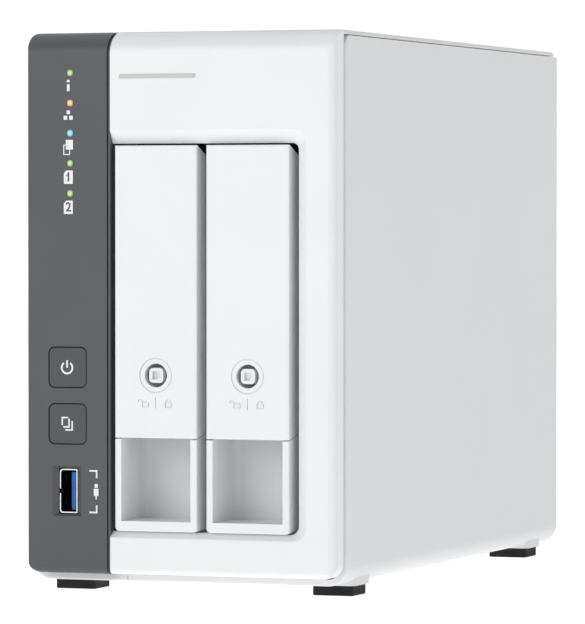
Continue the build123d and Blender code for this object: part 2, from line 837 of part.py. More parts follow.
# trays
def padlock(centre_x, centre_z, shackle_shift):
    """A plain padlock outline, 3 high, sunk into the lever. The shackle is shifted when it is open."""
    line = 0.34
    plate = Rectangle(2.3, 1.7) - Rectangle(2.3 - 2 * line, 1.7 - 2 * line)
    arch = Pos(shackle_shift, 0.85) * (Circle(0.85) - Circle(0.85 - line))
    arch &= Pos(shackle_shift, 0.85 + 0.5) * Rectangle(3.0, 1.0)
    return Pos(centre_x, centre_z) * (plate + arch)


def tray_lever(centre):
    half = tray_width / 2
    low_z = tray_seam + lever_gap
    rear_y = front + lever_side_depth
    outline = polygon(
        (front, low_z),
        (rear_y, low_z + lever_side_depth * math.tan(seam_slope)),
        (rear_y, tray_top - lever_side_depth * math.tan(crown_slope)),
        (front, tray_top),
    )
    lever = prism(outline, "x", (centre - half, centre + half))
    rims = lever.faces().sort_by(Axis.Y)[0].edges()
    lever = fillet(rims, 0.45)
    hollow = polygon(
        (front + lever_plate, low_z + 2.0),
        (front + 4.0, low_z + 2.4),
        (front + 4.0, low_z - 2.0),
        (rear_y + past, low_z - 2.0),
        (rear_y + past, tray_top - 6.0),
        (front + lever_plate, tray_top - 2.4),
    )
    lever -= prism(hollow, "x", (centre - half + lever_plate, centre + half - lever_plate))
    boss = rod("y", (centre, lock_z), (front + 0.5, front + 7.0), lock_hole + 1.5)
    lever += boss
    for z in (88.0, 106.0):
        lever += block((centre - half + 0.5, centre + half - 0.5), (front + 0.5, front + 5.0), (z, z + 1.2))
    lever -= rod("y", (centre, lock_z), (front - past, front + 8.0), lock_hole)
    lever -= rod("y", (centre, lock_z), (front - past, front + 0.12), lock_dish)
    groove = rod("y", (centre, lock_z), (front - past, front + 0.4), lock_dish)
    lever -= groove - rod("y", (centre, lock_z), (front - past, front + past), lock_dish - 0.3)
    bore = (centre - half + pin_skin, centre + half - pin_skin)
    lever -= rod("x", (pivot_y, pivot_z), bore, pin_radius + 0.05)
    marks = padlock(centre - 3.2, 57.0, -1.6)
    marks += padlock(centre + 4.1, 57.0, 0)
    marks += Pos(centre, 57.5) * Rectangle(0.3, 3.2)
    lever -= prism(marks, "y", (front - past, front + 0.35))
    return lever


def tray_front(centre):
    half = tray_width / 2
    wall = 2.0
    outline = polygon(
        (front, tray_bottom),
        (tray_back, tray_bottom),
        (tray_back, tray_seam + tray_box_depth * math.tan(seam_slope)),
        (front, tray_seam),
    )
    body = prism(outline, "x", (centre - half, centre + half))
    frame_face = rounded_face((centre - half, centre + half), (tray_bottom, tray_top), (1.3, 1.3, 0, 0))
    body &= prism(frame_face, "y", (front, tray_back))
    body = chamfer(body.faces().sort_by(Axis.Y)[0].edges().sort_by(Axis.Z)[:-1], 0.3)
    upper = block(
        (centre - half, centre + half),
        (front + lever_side_depth + 0.3, tray_back),
        (tray_seam, 116.0),
    )
    body += upper
    back_wall = block((centre - half, centre + half), (tray_back - 3.0, tray_back), (tray_bottom, 131.0))
    body += back_wall
    pocket = (front - past, tray_back - 3.0)
    inner = (centre - half + wall, centre + half - wall)
    finger_room = block(inner, pocket, (tray_bottom + 3.0, 58.0))
    back_edges = finger_room.faces().sort_by(Axis.Y)[-1].edges().filter_by(Axis.Z)
    body -= fillet(back_edges, pocket_corner)
    body -= block(inner, (front - past, tray_back - 3.0), (59.5, 120.0))
    for low, high in ((centre - 11.5, centre - 9.9), (centre + 9.9, centre + 11.5)):
        arm = polygon(
            (pivot_y + ear_radius * math.sin(arm_slope), pivot_z + ear_radius * math.cos(arm_slope)),
            (tray_back - 2.0, pivot_z - 8.0),
            (tray_back - 2.0, pivot_z - 22.0),
            (pivot_y - ear_radius * math.sin(arm_slope), pivot_z - ear_radius * math.cos(arm_slope)),
        )
        body += prism(arm, "x", (low, high)) + rod("x", (pivot_y, pivot_z), (low, high), ear_radius)
    body -= rod("x", (pivot_y, pivot_z), (centre - half - past, centre + half + past), pin_radius)
    return body


def hinge_pin(centre):
    reach = tray_width / 2 - pin_skin - 0.1
    return rod("x", (pivot_y, pivot_z), (centre - reach, centre + reach), pin_radius)


def lock_cup(centre):
    cup = rod("y", (centre, lock_z), (front + 3.0, front + 7.0), lock_hole)
    return cup - rod("y", (centre, lock_z), (front, front + 8.0), 2.1)


def tray_lock(centre):
    knob_face = Rectangle(4.5, 4.5)
    knob_face = fillet(knob_face.vertices(), 1.3)
    knob = prism(Pos(centre, lock_z) * knob_face, "y", (front + 0.3, front + 2.7))
    knob = fillet(knob.faces().sort_by(Axis.Y)[0].edges(), 0.25)
    slot = Pos(centre, lock_z) * (Rectangle(2.4, 2.4) - Pos(1.2, -1.2) * Rot(0, 0, 45) * Rectangle(1.0, 1.0))
    knob -= prism(slot, "y", (front - past, front + 1.5))
    knob += rod("y", (centre, lock_z), (front + 2.6, front + 9.2), 2.0)
    return knob + block(
        (centre - 1.6, centre + 1.6),
        (front + 7.6, front + 9.2),
        (lock_z - 2.0, lock_z + 6.5),
    )


def carrier(centre):
    low_x = centre - 14.2
    plate_x = (low_x, low_x + 1.2)
    y = (tray_back, 60.0)
    rails = ((22.0, 24.0), (129.4, 131.4))
    body = block(plate_x, y, (rails[0][0], rails[1][1]))
    for rail in rails:
        body += block((low_x, centre + 12.0), y, rail)
    for runner in ((19.5, 22.5), (131.0, 133.9)):
        body += block((centre - 4.2, centre + 4.2), (y[0] + 1.5, 56.0), runner)
    for index in range(3):
        for z in (29.0, 80.5):
            window_y = (-76.0 + index * 45.0, -76.0 + index * 45.0 + 36.0)
            window = rounded_face(window_y, (z, z + 44.0), (3.0,) * 4)
            body -= prism(window, "x", (plate_x[0] - past, plate_x[1] + past))
    front_web = block((low_x, centre + 12.0), (y[0], y[0] + 1.6), (rails[0][0], rails[1][1]))
    front_web -= block((centre - 9.0, centre + 9.0), (y[0] - past, y[0] + 3.0), (60.0, 112.0))
    return body + front_web


def drive_hole_ys():
    return (drive_rear - drive_hole_rear, drive_rear - drive_hole_rear - drive_hole_pitch)


def tray_clips(centre):
    """The two snap-in strips whose pegs hold the drive by its side holes."""
    hole_x = drive_low_x(centre) + drive_hole_x
    strips = []
    for strip_z, peg_z in (
        ((24.1, drive_low - 0.05), (24.1, drive_low + 2.4)),
        ((drive_high + 0.05, 129.3), (drive_high - 2.4, 129.3)),
    ):
        strip = block((hole_x - 4.0, hole_x + 5.0), (-80.0, 45.0), strip_z)
        for y in drive_hole_ys():
            strip += rod("z", (hole_x, y), peg_z, 1.45)
        strips.append(strip)
    return group(strips)


def drive_base(centre):
    low = drive_low_x(centre)
    high = low + drive_thick - 0.8
    face = rounded_face((drive_front, drive_rear), (drive_low, drive_high), (2.0,) * 4)
    body = prism(face, "x", (low, high))
    body -= rod("x", (platter_y, tray_mid_z), (low + 5.0, high + past), platter_well)
    body -= block(
        (low - past, low + 2.2),
        (drive_front + 18.0, drive_rear - 2.0),
        (drive_low + 8.0, drive_high - 8.0),
    )
    body -= block(
        (low - past, low + 9.5),
        (drive_rear - 7.0, drive_rear + past),
        (socket_z - socket_half - 4.0, socket_z + socket_half + 4.0),
    )
    for z in ((drive_low - past, drive_low + 3.0), (drive_high - 3.0, drive_high + past)):
        for y in drive_hole_ys():
            body -= rod("z", (low + drive_hole_x, y), z, 1.6)
    return body


def drive_lid(centre):
    low = drive_low_x(centre) + drive_thick - 0.8
    face = rounded_face(
        (drive_front + 1.0, drive_rear - 1.0),
        (drive_low + 1.0, drive_high - 1.0),
        (3.0,) * 4,
    )
    lid = prism(face, "x", (low, low + 0.5))
    lid += rod("x", (platter_y, tray_mid_z), (low + 0.4, low + 0.8), platter_well - 4.0)
    lid -= rod("x", (platter_y, tray_mid_z), (low + 0.5, low + 1.0), 12.0)
    places = [(drive_front + 6.0, drive_low + 6.0), (drive_front + 6.0, drive_high - 6.0)]
    places += [(drive_rear - 6.0, drive_low + 6.0), (drive_rear - 6.0, drive_high - 6.0)]
    for y, z in places:
        lid += rod("x", (y, z), (low + 0.4, low + 0.8), 2.4)
    return lid


def drive_board(centre):
    low = drive_low_x(centre)
    board = block(
        (low + 0.6, low + 2.2),
        (drive_front + 18.5, drive_rear - 7.2),
        (drive_low + 8.5, drive_high - 8.5),
    )
    for y, z, size in ((20.0, 70.0, 14.0), (0.0, 92.0, 9.0), (-20.0, 60.0, 10.0)):
        board += block((low + 0.1, low + 0.7), (y, y + size), (z, z + size))
    return board


def drive_plug(centre):
    low = drive_low_x(centre)
    body = block(
        (low + 2.3, low + 9.3),
        (drive_rear - 6.8, drive_rear - 3.0),
        (socket_z - socket_half - 3.5, socket_z + socket_half + 3.5),
    )
    blade_z = (socket_z - socket_half + 0.5, socket_z + socket_half - 0.5)
    return body + block((low + 4.5, low + 5.7), (drive_rear - 3.5, drive_rear + 3.6), blade_z)


# fasteners
def cage_screws():
    made = []
    for x, y in cage_screw_places():
        head = Pos(x, y, cover_bottom + 0.85) * Cone(2.95, 1.45, 1.5)
        shank = rod("z", (x, y), (cover_bottom + 1.0, cover_bottom + cover_wall + 1.9), 1.45)
        screw = head + shank
        screw -= block((x - 1.3, x + 1.3), (y - 0.3, y + 0.3), (cover_bottom, cover_bottom + 0.8))
        screw -= block((x - 0.3, x + 0.3), (y - 1.3, y + 1.3), (cover_bottom, cover_bottom + 0.8))
        made.append(screw)
    return group(made)


def board_screws():
    made = []
    for y, z in board_screw_places():
        head = rod("x", (y, z), (board_low_x - 1.8, board_low_x), 2.7)
        head = fillet(head.faces().sort_by(Axis.X)[0].edges(), 0.7)
        head -= block((board_low_x - 2.5, board_low_x - 0.8), (y - 1.4, y + 1.4), (z - 0.3, z + 0.3))
        made.append(head + rod("x", (y, z), (board_low_x - 0.5, board_x + 5.0), 1.25))
    for x in backplane_screw_xs:
        high = backplane_y + board_thick
        head = rod("y", (x, backplane_screw_z), (high, high + 1.8), 2.7)
        made.append(head + rod("y", (x, backplane_screw_z), (backplane_y - 1.0, high + 0.5), 1.25))
    return group(made)


# build
def pieces():
    made = {
        "front_bezel": front_bezel(),
        "control_panel": control_panel(),
        "top_cover": top_cover(),
        "left_cover": side_cover(-1),
        "right_cover": side_cover(1),
        "rear_panel": rear_panel(),
        "port_panel": port_panel(),
        "drive_cage": drive_cage(),
        "lower_guide": tray_guide(True),
        "upper_guide": tray_guide(False),
        "main_board": main_board(),
        "processor_heatsink": processor_heatsink(),
        "circuit_chips": circuit_chips(),
        "clock_battery": clock_battery(),
        "backplane_board": backplane_board(),
        "backplane_sockets": backplane_sockets(),
        "front_usb_shell": usb_can(usb_z, front_usb_mouth, -1),
        "rear_usb_shells": group(usb_can(z, rear_usb_mouth, 1) for z in rear_usb_zs),
        "front_usb_tongue": usb_tongue(usb_z, front_usb_mouth, -1),
        "rear_usb_tongues": group(usb_tongue(z, rear_usb_mouth, 1) for z in rear_usb_zs),
        "network_sockets": group(network_socket(z) for z in network_zs),
        "power_socket": power_socket(),
        "button_switches": button_switches(),
        "green_lenses": group(lens(index) for index in (0, 3, 4)),
        "orange_lens": lens(1),
        "blue_lens": lens(2),
        "indicator_leds": indicator_leds(),
        "fan_frame": fan_frame(),
        "fan_bearing": fan_bearing(),
        "fan_rotor": fan_rotor(),
        "rubber_feet": rubber_feet(),
        "cover_screws": group(rear_screw(x, z, 1.25, 4.0) for x, z in cover_screw_places()),
        "fan_screws": group(rear_screw(x, z, 1.65, 9.0) for x, z in fan_corners()),
        "cage_screws": cage_screws(),
        "board_screws": board_screws(),
        "power_button": push_button(button_zs["power"]),
        "copy_button": push_button(button_zs["copy"]),
        "reset_button": reset_button(),
    }
    tray_makers = {
        "tray_{}_front": tray_front,
        "tray_{}_lever": tray_lever,
        "tray_{}_hinge_pin": hinge_pin,
        "tray_{}_lock": tray_lock,
        "tray_{}_lock_cup": lock_cup,
        "tray_{}_carrier": carrier,
        "tray_{}_clips": tray_clips,
        "drive_{}_base": drive_base,
        "drive_{}_lid": drive_lid,
        "drive_{}_board": drive_board,
        "drive_{}_plug": drive_plug,
    }
    for number, centre in enumerate(tray_centres, 1):
        for name, maker in tray_makers.items():
            made[name.format(number)] = maker(centre)
    return made


if __name__ == "__main__":
    os.makedirs("parts", exist_ok=True)
    for name, shape in pieces().items():
        export_step(shape, f"parts/{name}.step")
        print(name, len(shape.solids()))
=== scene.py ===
import json
import math
import bmesh
import bpy
from mathutils import Matrix, Vector


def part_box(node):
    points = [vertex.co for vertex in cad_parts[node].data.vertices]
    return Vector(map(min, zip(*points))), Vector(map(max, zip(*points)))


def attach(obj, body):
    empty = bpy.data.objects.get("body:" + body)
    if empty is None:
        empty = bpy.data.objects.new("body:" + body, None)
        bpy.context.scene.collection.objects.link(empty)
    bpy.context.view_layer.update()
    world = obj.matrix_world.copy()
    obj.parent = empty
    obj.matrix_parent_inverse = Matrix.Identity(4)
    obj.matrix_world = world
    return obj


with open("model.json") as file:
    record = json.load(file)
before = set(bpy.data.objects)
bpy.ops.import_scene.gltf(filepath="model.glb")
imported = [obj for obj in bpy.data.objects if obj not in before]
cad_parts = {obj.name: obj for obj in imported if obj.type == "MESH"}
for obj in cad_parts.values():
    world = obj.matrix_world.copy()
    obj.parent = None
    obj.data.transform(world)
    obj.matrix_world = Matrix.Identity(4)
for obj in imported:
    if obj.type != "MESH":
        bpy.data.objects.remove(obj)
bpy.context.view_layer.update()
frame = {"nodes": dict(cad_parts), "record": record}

mm = 0.001


class Sock:
    # one shader value: sums on it add Math nodes to its own tree
    def __init__(self, shop, link):
        self.shop = shop
        self.link = link

    def sum(self, operation, a, b=0.0, c=0.0):
        return self.shop.node("ShaderNodeMath", {"operation": operation}, {0: a, 1: b, 2: c})

    def __add__(self, other):
        return self.sum("ADD", self, other)

    def __sub__(self, other):
        return self.sum("SUBTRACT", self, other)

    def __mul__(self, other):
        return self.sum("MULTIPLY", self, other)

    def __gt__(self, other):
        return self.sum("GREATER_THAN", self, other)

    def __lt__(self, other):
        return self.sum("LESS_THAN", self, other)


class Finish:
    # a material and the few calls that every finish here is made of
    def __init__(self, name, **constants):
        self.material = bpy.data.materials.new(name)
        self.material.use_nodes = True
        self.tree = self.material.node_tree
        self.shader = self.tree.nodes["Principled BSDF"]
        for socket, value in constants.items():
            self.shader.inputs[socket.replace("_", " ")].default_value = value
        self.place = self.node("ShaderNodeTexCoord", out="Object")

    def node(self, kind, settings=None, inputs=None, out=0):
        made = self.tree.nodes.new(kind)
        for key, value in (settings or {}).items():
            if key == "stops":
                ramp = made.color_ramp
                ramp.elements[0].position, ramp.elements[0].color = value[0]
                ramp.elements[1].position, ramp.elements[1].color = value[-1]
                for position, colour in value[1:-1]:
                    ramp.elements.new(position).color = colour
            else:
                setattr(made, key, value)
        for key, value in (inputs or {}).items():
            if isinstance(value, Sock):
                self.tree.links.new(value.link, made.inputs[key])
            else:
                made.inputs[key].default_value = value
        return Sock(self, made.outputs[out])

    def feed(self, socket, value):
        self.tree.links.new(value.link, self.shader.inputs[socket])

    def noise(self, grainMm, detail=3.0, roughness=0.5, stretch=(1, 1, 1)):
        # grainMm is the size of one speck, so patterns are set in real sizes
        place = self.place
        if stretch != (1, 1, 1):
            place = self.node("ShaderNodeMapping", {}, {"Vector": place, "Scale": stretch})
        wanted = {"Vector": place, "Scale": 1 / (grainMm * mm)}
        wanted.update({"Detail": detail, "Roughness": roughness})
        return self.node("ShaderNodeTexNoise", {}, wanted, out=0)

    def axis(self, letter):
        return self.node("ShaderNodeSeparateXYZ", {}, {0: self.place}, out="XYZ".index(letter))

    def ramp(self, value, low, high, start=0.3, end=0.7):
        stops = [(start, colour4(low)), (end, colour4(high))]
        return self.node("ShaderNodeValToRGB", {"stops": stops}, {0: value})

    def mix(self, mask, a, b):
        return self.node("ShaderNodeMix", {"data_type": "RGBA"}, {0: mask, 6: a, 7: b}, out=2)

    def remap(self, value, low, high):
        return self.node("ShaderNodeMapRange", {}, {"Value": value, "To Min": low, "To Max": high})

    def bump(self, height, depthMm, strength=1.0, over=None):
        inputs = {"Height": height, "Distance": depthMm * mm, "Strength": strength}
        if over is not None:
            inputs["Normal"] = over
        return self.node("ShaderNodeBump", {}, inputs)


def colour4(rgb):
    return (*rgb, 1.0)


def shade(rgb, times):
    return tuple(min(part * times, 1.0) for part in rgb)


plasticLook = {
    "grainMm": 0.35,
    "depthMm": 0.012,
    "cloudMm": 24.0,
    "spread": 0.012,
    "ior": 1.48,
    "coat": 0.0,
    "coatRoughness": 0.22,
    "glossDrift": (-0.05, 0.07),
}


def mouldedPlastic(name, rgb, roughness=0.42, **changes):
    # spark-eroded plastic: fine pits, a slow drift of tone and of gloss
    look = {**plasticLook, **changes}
    coat = {"Coat_Weight": look["coat"], "Coat_Roughness": look["coatRoughness"]}
    f = Finish(name, Roughness=roughness, IOR=look["ior"], **coat)
    cloud = f.noise(look["cloudMm"], 2.0)
    dark, light = shade(rgb, 1 - look["spread"]), shade(rgb, 1 + look["spread"])
    f.feed("Base Color", f.ramp(cloud, dark, light))
    fine = f.noise(look["grainMm"], 2.0, 0.6)
    low, high = (roughness + drift for drift in look["glossDrift"])
    f.feed("Roughness", f.remap(fine * 0.6 + cloud * 0.4, low, high))
    f.feed("Normal", f.bump(fine, look["depthMm"], 0.55))
    return f.material


paintLook = {
    "peelMm": 1.6,
    "peelDepthMm": 0.03,
    "toothMm": 0.25,
    "toothDepthMm": 0.008,
    "cloudMm": 40.0,
    "tones": (0.988, 1.01),
    "glossDrift": (-0.04, 0.08),
}


def powderPaint(name, rgb, roughness=0.5):
    # stoved paint on sheet steel: soft orange peel over a fine tooth
    f = Finish(name, Roughness=roughness, IOR=1.5)
    peel = f.noise(paintLook["peelMm"], 2.0, 0.45)
    tooth = f.noise(paintLook["toothMm"], 2.0, 0.6)
    cloud = f.noise(paintLook["cloudMm"], 2.0)
    dark, light = (shade(rgb, tone) for tone in paintLook["tones"])
    f.feed("Base Color", f.ramp(cloud, dark, light))
    low, high = (roughness + drift for drift in paintLook["glossDrift"])
    f.feed("Roughness", f.remap(tooth, low, high))
    under = f.bump(peel, paintLook["peelDepthMm"], 0.5)
    f.feed("Normal", f.bump(tooth, paintLook["toothDepthMm"], 0.4, over=under))
    return f.material


zincLook = {"flakeMm": 4.5, "lineMm": 0.5, "depthMm": 0.01, "tones": (0.86, 1.1)}


def zincSheet(name, rgb):
    # spangled zinc, with the sheet's own rolling lines
    f = Finish(name, Roughness=0.38, Metallic=1.0)
    cells = {"Vector": f.place, "Scale": 1 / (zincLook["flakeMm"] * mm)}
    flake = f.node("ShaderNodeTexVoronoi", {"feature": "F1"}, cells, out=1)
    tone = f.node("ShaderNodeRGBToBW", {}, {0: flake})
    lines = f.noise(zincLook["lineMm"], 2.0, 0.5, stretch=(1, 0.04, 1))
    dark, light = (shade(rgb, tint) for tint in zincLook["tones"])
    f.feed("Base Color", f.ramp(tone, dark, light, 0.2, 0.8))
    f.feed("Roughness", f.remap(tone * 0.5 + lines * 0.5, 0.27, 0.5))
    f.feed("Normal", f.bump(lines, zincLook["depthMm"], 0.5))
    return f.material


metalLook = {"depthMm": 0.006, "tones": (0.93, 1.04), "glossDrift": (-0.06, 0.12)}


def brightMetal(name, rgb, roughness=0.2, stretch=(0.05, 1, 1), grainMm=0.3):
    # plated or drawn metal with fine lines across it
    f = Finish(name, Roughness=roughness, Metallic=1.0)
    lines = f.noise(grainMm, 3.0, 0.5, stretch=stretch)
    dark, light = (shade(rgb, tone) for tone in metalLook["tones"])
    f.feed("Base Color", f.ramp(lines, dark, light))
    low, high = (roughness + drift for drift in metalLook["glossDrift"])
    f.feed("Roughness", f.remap(lines, low, high))
    f.feed("Normal", f.bump(lines, metalLook["depthMm"], 0.5))
    return f.material


castLook = {"sandMm": 0.7, "flowMm": 9.0, "depthMm": 0.05, "tones": (0.88, 1.06)}


def castMetal(name, rgb):
    # die-cast body: a sandy skin over slow flow marks
    f = Finish(name, Roughness=0.5, Metallic=0.9)
    sand = f.noise(castLook["sandMm"], 4.0, 0.65)
    flow = f.noise(castLook["flowMm"], 2.0)
    dark, light = (shade(rgb, tone) for tone in castLook["tones"])
    f.feed("Base Color", f.ramp(flow, dark, light))
    f.feed("Roughness", f.remap(sand, 0.4, 0.62))
    f.feed("Normal", f.bump(sand, castLook["depthMm"], 0.6))
    return f.material


rubberLook = {"poreMm": 0.4, "dustMm": 5.0, "depthMm": 0.03, "tones": (0.9, 1.5)}


def rubberSkin(name, rgb):
    # matt rubber with pores and a little dust
    f = Finish(name, Roughness=0.8, IOR=1.52, Specular_IOR_Level=0.3)
    pores = f.noise(rubberLook["poreMm"], 3.0, 0.6)
    dust = f.noise(rubberLook["dustMm"], 3.0, 0.6)
    dark, light = (shade(rgb, tone) for tone in rubberLook["tones"])
    f.feed("Base Color", f.ramp(dust, dark, light, 0.4, 0.8))
    f.feed("Roughness", f.remap(pores, 0.68, 0.9))
    f.feed("Normal", f.bump(pores, rubberLook["depthMm"], 0.7))
    return f.material


boardLook = {
    "cellMm": 3.4,
    "cellRandom": 0.55,
    "trackWide": 0.16,
    "bands": 420.0,
    "bandBend": 1.5,
    "bandCut": 0.45,
    "viaMm": 2.6,
    "viaWide": 0.13,
    "trackDepthMm": 0.03,
    "viaGold": (0.62, 0.43, 0.14),
}


def solderMask(name, rgb):
    # green lacquer over copper: runs of track, a ground plane hatch and bare gold vias
    f = Finish(name, Roughness=0.32, Coat_Weight=0.3, Coat_Roughness=0.12)
    coarse = {"Vector": f.place, "Scale": 1 / (boardLook["cellMm"] * mm)}
    coarse["Randomness"] = boardLook["cellRandom"]
    cell = f.node("ShaderNodeTexVoronoi", {"feature": "DISTANCE_TO_EDGE"}, coarse)
    bands = {"Vector": f.place, "Scale": boardLook["bands"], "Distortion": boardLook["bandBend"]}
    wave = f.node("ShaderNodeTexWave", {"bands_direction": "DIAGONAL"}, bands)
    track = (cell < boardLook["trackWide"]) * (wave > boardLook["bandCut"])
    dots = {"Vector": f.place, "Scale": 1 / (boardLook["viaMm"] * mm)}
    spot = f.node("ShaderNodeTexVoronoi", {"feature": "F1"}, dots)
    via = spot < boardLook["viaWide"]
    lacquer = f.mix(track, colour4(rgb), colour4(shade(rgb, 1.9)))
    f.feed("Base Color", f.mix(via, lacquer, colour4(boardLook["viaGold"])))
    f.feed("Roughness", f.remap(via, 0.34, 0.22))
    f.feed("Normal", f.bump(track, boardLook["trackDepthMm"], 0.5))
    return f.material


lensLook = {"radiusMm": 1.15, "fogMm": 0.5, "fogShare": 0.12, "offShades": (0.3, 0.5)}


def litLens(name, middle, rim, power=1.0):
    # diffuse lens lit from behind: pale over the light itself, deeper in colour towards its edge
    f = Finish(name, Roughness=0.3, Emission_Strength=power)
    across = f.axis("X") - ledX * mm
    # the lights repeat downwards, and a whole number of pitches keeps the height positive
    height = f.axis("Z") - ledTopZ * mm + wholePitches * ledPitch * mm
    shifted = f.place.sum("PINGPONG", height, ledPitch * mm / 2)
    radius = f.place.sum("SQRT", across * across + shifted * shifted)
    spread = radius * (1 / (lensLook["radiusMm"] * mm))
    fog = f.noise(lensLook["fogMm"], 2.0)
    glow = f.ramp(spread + fog * lensLook["fogShare"], middle, rim, 0.3, 1.0)
    f.feed("Emission Color", glow)
    dark, light = (shade(rim, tone) for tone in lensLook["offShades"])
    f.feed("Base Color", f.ramp(fog, dark, light))
    return f.material


# depths past the mouth where the painted shade starts and where it is full, and how dark it paints
# the inside
shellLook = {"brightMm": 0.3, "darkMm": 0.8, "inside": 0.06, "depthMm": 0.006}


def portMetal(name, rgb, mouthY, inward):
    # a plated shell with painted shade: its colour darkens past the mouth to near black inside
    f = Finish(name, Roughness=0.28, Metallic=1.0)
    lines = f.noise(0.3, 3.0, 0.5, stretch=(1, 0.05, 1))
    depth = (f.axis("Y") - mouthY) * inward
    fade = {"Value": depth}
    fade["From Min"] = shellLook["brightMm"] * mm
    fade["From Max"] = shellLook["darkMm"] * mm
    inside = f.node("ShaderNodeMapRange", {}, fade)
    bright = f.ramp(lines, shade(rgb, 0.95), shade(rgb, 1.05))
    f.feed("Base Color", f.mix(inside, bright, colour4(shade(rgb, shellLook["inside"]))))
    f.feed("Roughness", f.remap(lines, 0.2, 0.4))
    f.feed("Normal", f.bump(lines, shellLook["depthMm"], 0.5))
    return f.material


inkLook = {"filmMm": 0.3, "thin": 0.95, "gloss": (0.42, 0.58)}


def printedInk(name, rgb):
    f = Finish(name, Roughness=0.5)
    film = f.noise(inkLook["filmMm"], 2.0)
    f.feed("Base Color", f.ramp(film, shade(rgb, inkLook["thin"]), rgb))
    f.feed("Roughness", f.remap(film, *inkLook["gloss"]))
    return f.material


palette = {
    "white": (0.845, 0.852, 0.862),
    # the side covers and the top share one white paint; the side copy is set darker as painted
    # shade, the top copy keeps the lit tone
    "side": (0.75, 0.758, 0.768),
    "crown": (0.83, 0.835, 0.84),
    "panel": (0.086, 0.089, 0.097),
    "button": (0.07, 0.072, 0.078),
    "black": (0.02, 0.0205, 0.0215),
    "cup": (0.2, 0.203, 0.205),
    "zinc": (0.56, 0.57, 0.58),
    "bright": (0.78, 0.79, 0.8),
    "blue": (0.004, 0.125, 0.46),
    "mask": (0.012, 0.105, 0.042),
    "gold": (0.78, 0.55, 0.2),
    "epoxy": (0.022, 0.022, 0.024),
    "darkPaint": (0.028, 0.029, 0.031),
    "extrusion": (0.7, 0.71, 0.72),
    "casting": (0.5, 0.51, 0.52),
    "rolled": (0.6, 0.61, 0.62),
    "bronze": (0.6, 0.42, 0.2),
    "rubber": (0.012, 0.0123, 0.013),
    "inkWhite": (0.86, 0.87, 0.88),
    "inkGrey": (0.55, 0.585, 0.56),
    "paper": (0.8, 0.8, 0.78),
}

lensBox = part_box("green_lenses")
ledX = (lensBox[0][0] + lensBox[1][0]) / 2 / mm
ledTopZ = lensBox[1][2] / mm - 1.8
ledPitch = 9.0
wholePitches = 20
markX = ledX - 0.5

print("stage: finishes")
finishes = {
    # two copies of the same white paint: side covers darker as painted shade, top cover lighter
    "white_shell": powderPaint("shadedSidePaint", palette["side"]),
    "white_top": powderPaint("paintedCrown", palette["crown"]),
    "white_front": mouldedPlastic("whiteMoulding", palette["white"], 0.36, coat=0.06),
    "grey_panel": mouldedPlastic(
        "greyMoulding", palette["panel"], 0.46, depthMm=0.018, spread=0.03
    ),
    "button_grey": mouldedPlastic(
        "buttonMoulding", palette["button"], 0.4, grainMm=0.25, spread=0.03
    ),
    "dark_cup": mouldedPlastic("cupMoulding", palette["cup"], 0.55),
    "black_plastic": mouldedPlastic(
        "blackMoulding", palette["black"], 0.5, grainMm=0.6, depthMm=0.03, spread=0.06
    ),
    "blue_plastic": mouldedPlastic("blueMoulding", palette["blue"], 0.35, spread=0.05),
    "chip_black": mouldedPlastic("epoxyBody", palette["epoxy"], 0.6, grainMm=0.2, depthMm=0.02),
    "dark_steel": powderPaint("blackPaint", palette["darkPaint"], 0.45),
    "steel_sheet": zincSheet("zincSheet", palette["zinc"]),
    "bright_steel": brightMetal("brightPlate", palette["bright"]),
    "heatsink_metal": brightMetal(
        "extrudedAluminium", palette["extrusion"], 0.3, stretch=(1, 0.05, 1)
    ),
    "cast_metal": castMetal("castAluminium", palette["casting"]),
    "bronze": brightMetal("sinteredBronze", palette["bronze"], 0.4, stretch=(1, 1, 1)),
    "circuit_green": solderMask("solderMask", palette["mask"]),
    "rubber_black": rubberSkin("footRubber", palette["rubber"]),
    "lens_green": litLens("greenLight", (0.58, 0.81, 0.4), (0.13, 0.24, 0.07)),
    "lens_orange": litLens("orangeLight", (0.96, 0.68, 0.4), (0.46, 0.19, 0.07)),
    "lens_blue": litLens("blueLight", (0.35, 0.79, 0.96), (0.1, 0.31, 0.46)),
}
inkWhite = printedInk("whiteInk", palette["inkWhite"])
inkGrey = printedInk("greyInk", palette["inkGrey"])
goldContact = brightMetal("goldContact", palette["gold"], 0.22)
paperLabel = printedInk("paperLabel", palette["paper"])

slotOf = {part["node"]: part["material_slot"] for part in frame["record"]["subparts"]}
for node, obj in frame["nodes"].items():
    obj.data.materials.clear()
    obj.data.materials.append(finishes[slotOf[node]])
for number in (1, 2):
    rolled = brightMetal(f"rolledLid{number}", palette["rolled"], 0.32)
    frame["nodes"][f"drive_{number}_lid"].data.materials[0] = rolled
for node, inward in (("front_usb_shell", 1), ("rear_usb_shells", -1)):
    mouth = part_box(node)[0 if inward > 0 else 1][1]
    plated = portMetal(node + "Metal", palette["bright"], mouth, inward)
    frame["nodes"][node].data.materials[0] = plated


def plate(bm, x, z, y, thick):
    # a small flat block by its spans across the front, its front plane and its thickness
    made = bmesh.ops.create_cube(bm, size=1.0)["verts"]
    size = ((x[1] - x[0]) * mm, thick * mm, (z[1] - z[0]) * mm)
    bmesh.ops.scale(bm, verts=made, vec=size)
    centre = ((x[0] + x[1]) / 2 * mm, y + thick / 2 * mm, (z[0] + z[1]) / 2 * mm)
    bmesh.ops.translate(bm, verts=made, vec=centre)
    return made


